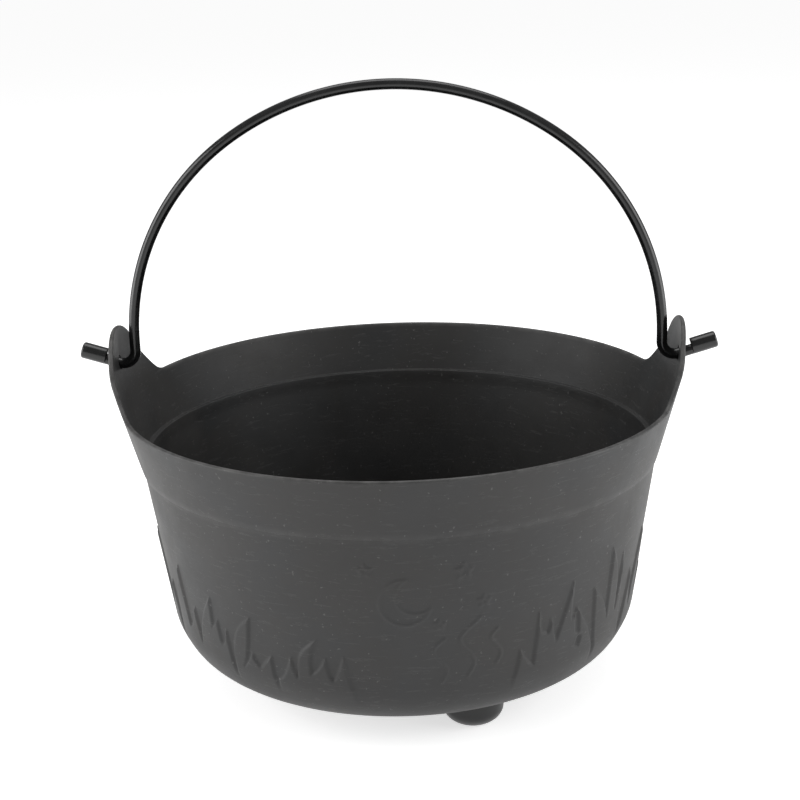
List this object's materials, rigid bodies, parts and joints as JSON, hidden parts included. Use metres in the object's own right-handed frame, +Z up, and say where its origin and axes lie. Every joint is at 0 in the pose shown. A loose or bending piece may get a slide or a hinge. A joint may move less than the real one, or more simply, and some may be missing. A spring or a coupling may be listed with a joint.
{
  "type": "cauldron",
  "caption": "Tapered black plastic tub with a flared collar, pierced ears, a swinging bail handle and small rounded feet.",
  "frame": {"origin": "on the floor under the middle of the tub", "axes": "+Z up, X through the two ears along the bail's hinge line, -Y is the front"},
  "size_m": [0.2888, 0.25, 0.2737],
  "materials": {
    "tub_plastic": "matt black, mottled and lightly scuffed",
    "bail_plastic": "glossy black",
    "foot_plastic": "half-glossy black"
  },
  "bodies": {
    "tub": {"tub": "tub_plastic", "foot_front": "foot_plastic", "foot_rear": "foot_plastic", "foot_left": "foot_plastic"},
    "bail": {"bail": "bail_plastic"}
  },
  "joints": [
    {"name": "bail_swing", "type": "hinge", "parent": "tub", "child": "bail", "pos_m": [0, 0, 0.149], "axis": [1, 0, 0], "range_deg": [-95.9, 95.9]}
  ]
}
